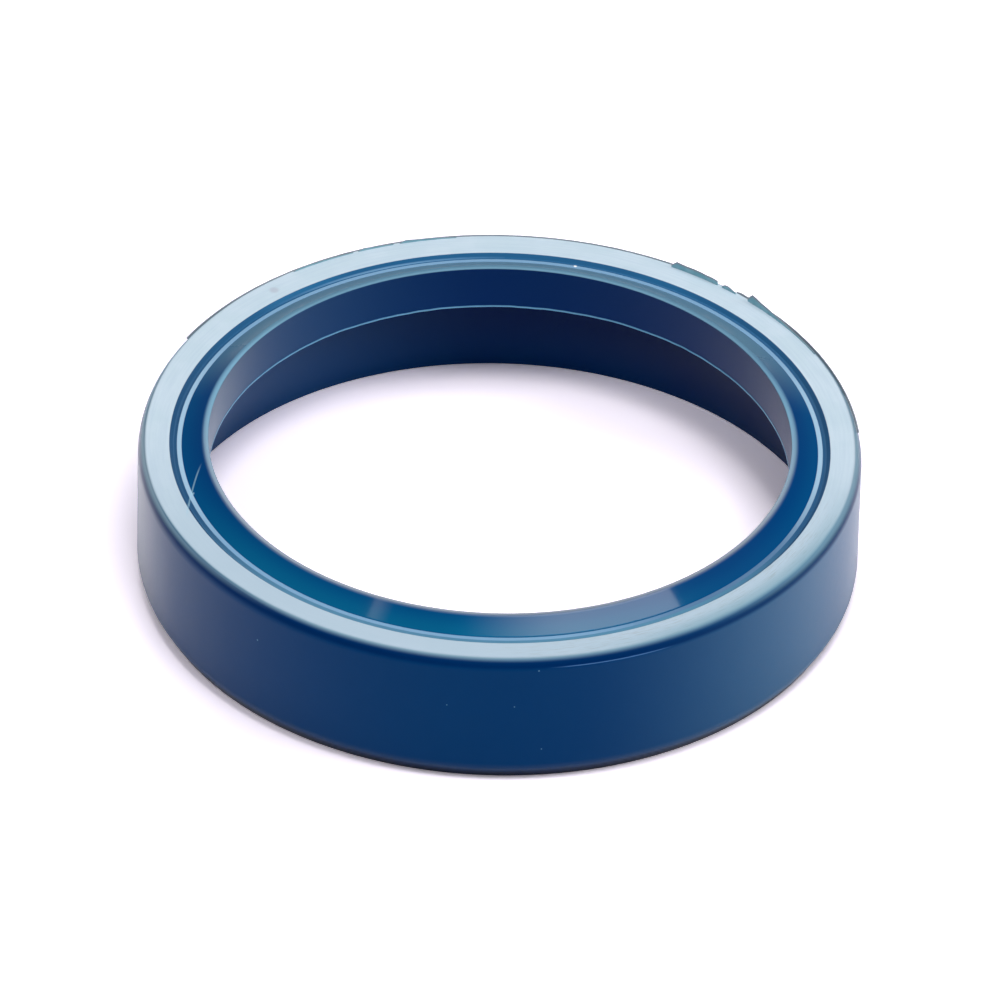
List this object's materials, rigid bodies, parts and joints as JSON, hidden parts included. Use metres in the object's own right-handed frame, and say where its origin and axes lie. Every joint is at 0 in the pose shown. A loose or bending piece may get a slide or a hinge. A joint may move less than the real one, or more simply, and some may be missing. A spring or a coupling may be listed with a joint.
{
  "type": "u cup seal",
  "caption": "One-piece moulded polyurethane U-cup seal ring, heel up, with a flat trimmed land, a short inner rod lip and a long outer lip.",
  "frame": {"origin": "centre of the foot circle, on the surface that the ring stands on", "axes": "+Z along the ring's axis, from the foot of the outer lip to the heel; +X and +Y across it, with the cut-off flash on the heel's +Y side"},
  "size_m": [0.055, 0.055, 0.0119],
  "materials": {
    "polyurethane": "smooth, half gloss"
  },
  "bodies": {
    "root": {"seal_ring": "polyurethane"}
  },
  "joints": []
}
